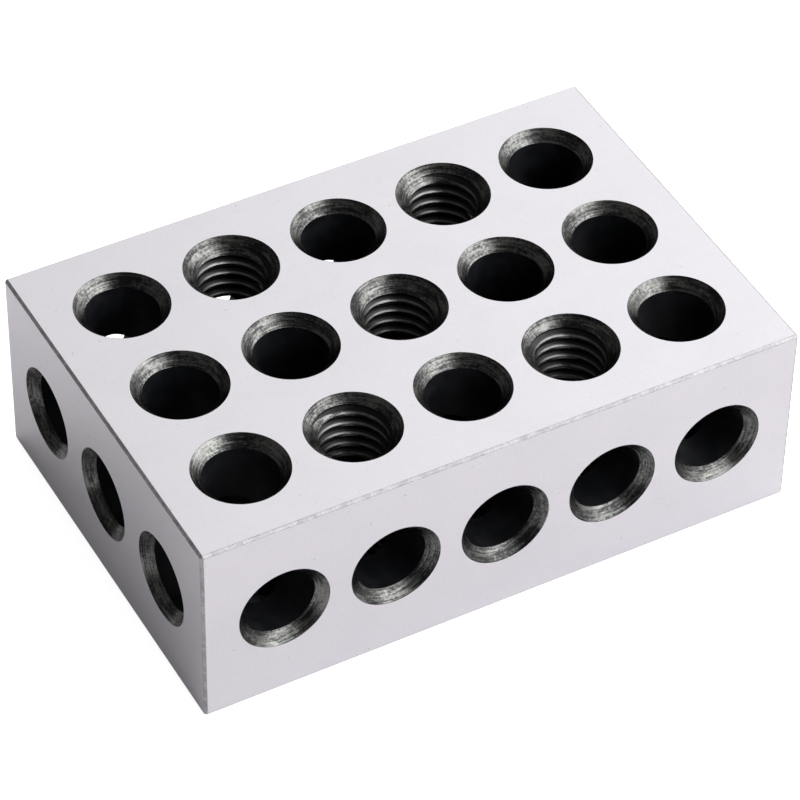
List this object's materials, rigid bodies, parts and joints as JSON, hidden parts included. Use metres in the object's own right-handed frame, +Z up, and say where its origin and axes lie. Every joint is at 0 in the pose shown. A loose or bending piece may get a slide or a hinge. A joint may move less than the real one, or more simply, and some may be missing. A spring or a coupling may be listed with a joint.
{
  "type": "setup block",
  "caption": "Rectangular ground steel setup block with countersunk plain and tapped holes that cross through it along all its axes, for setting up and clamping work.",
  "frame": {"origin": "centre of the lower large face, in its plane", "axes": "+X along the long side, +Y along the middle side, +Z up through the short side"},
  "size_m": [0.0762, 0.0508, 0.0254],
  "materials": {
    "ground_steel": "ground"
  },
  "bodies": {
    "root": {"block": "ground_steel"}
  },
  "joints": []
}
